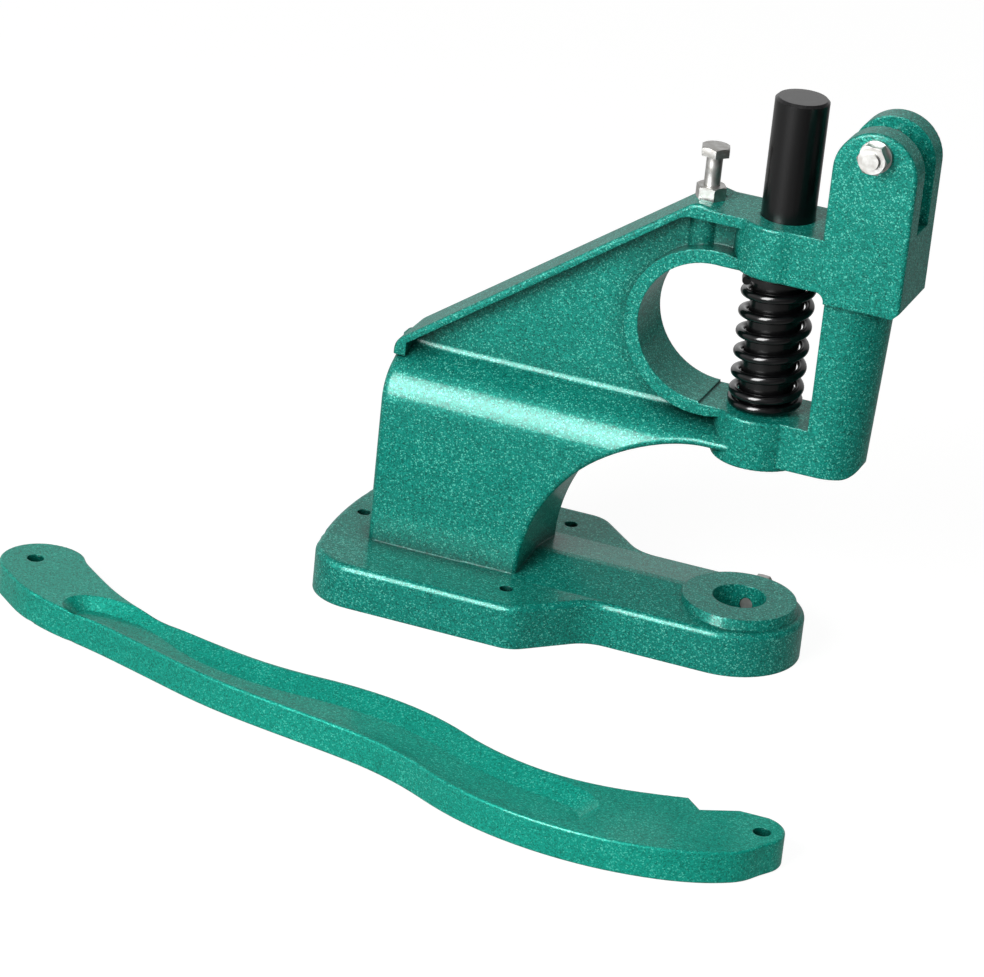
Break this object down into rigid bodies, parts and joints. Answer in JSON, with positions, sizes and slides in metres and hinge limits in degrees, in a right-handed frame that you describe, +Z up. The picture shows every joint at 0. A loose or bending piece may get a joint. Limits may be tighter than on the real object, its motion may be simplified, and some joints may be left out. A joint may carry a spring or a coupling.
{
  "type": "hand eyelet machine",
  "caption": "Hand-lever eyelet press: cast frame on a base plate, sprung ram over a die bore, forked head, and a loose curved lever.",
  "frame": {"origin": "on the table under the base, on the axis of the ram and of the lower die bore", "axes": "+Z up along the ram, +X along the base from the column towards the die end, +Y to the left when facing along +X"},
  "size_m": [0.3279, 0.2445, 0.2184],
  "materials": {
    "frame_paint": "glossy hammered green metallic paint",
    "lever_paint": "smooth glossy green metallic paint",
    "blackened_steel": "black oxide, turned",
    "spring_black": "glossy black",
    "zinc_plate": "bright zinc plating"
  },
  "bodies": {
    "frame": {"frame_casting": "frame_paint", "pivot_bolt": "zinc_plate", "pivot_nut": "zinc_plate", "pivot_washers": "zinc_plate", "stop_locknut": "zinc_plate", "return_spring": "spring_black"},
    "ram": {"ram": "blackened_steel", "retaining_clip": "blackened_steel", "spring_washer": "blackened_steel"},
    "stop_screw": {"stop_screw": "zinc_plate"},
    "die_clamp_screw": {"die_clamp_screw": "zinc_plate"},
    "lever": {"hand_lever": "lever_paint"}
  },
  "joints": [
    {"name": "ram_slide", "type": "slide", "parent": "frame", "child": "ram", "axis": [0, 0, -1], "range_m": [0, 0.022], "stiffness_N_per_m": 15400, "springref_m": -0.003, "deforming": ["return_spring"]},
    {"name": "stop_screw_adjust", "type": "slide", "parent": "frame", "child": "stop_screw", "axis": [0, 0, 1], "range_m": [-0.0077, 0.004]},
    {"name": "die_clamp_adjust", "type": "slide", "parent": "frame", "child": "die_clamp_screw", "axis": [0, 1, 0], "range_m": [-0.0006, 0.006]},
    {"name": "lever_lift", "type": "slide", "parent": "frame", "child": "lever", "axis": [0, 0, 1], "range_m": [0, 0.2]}
  ]
}
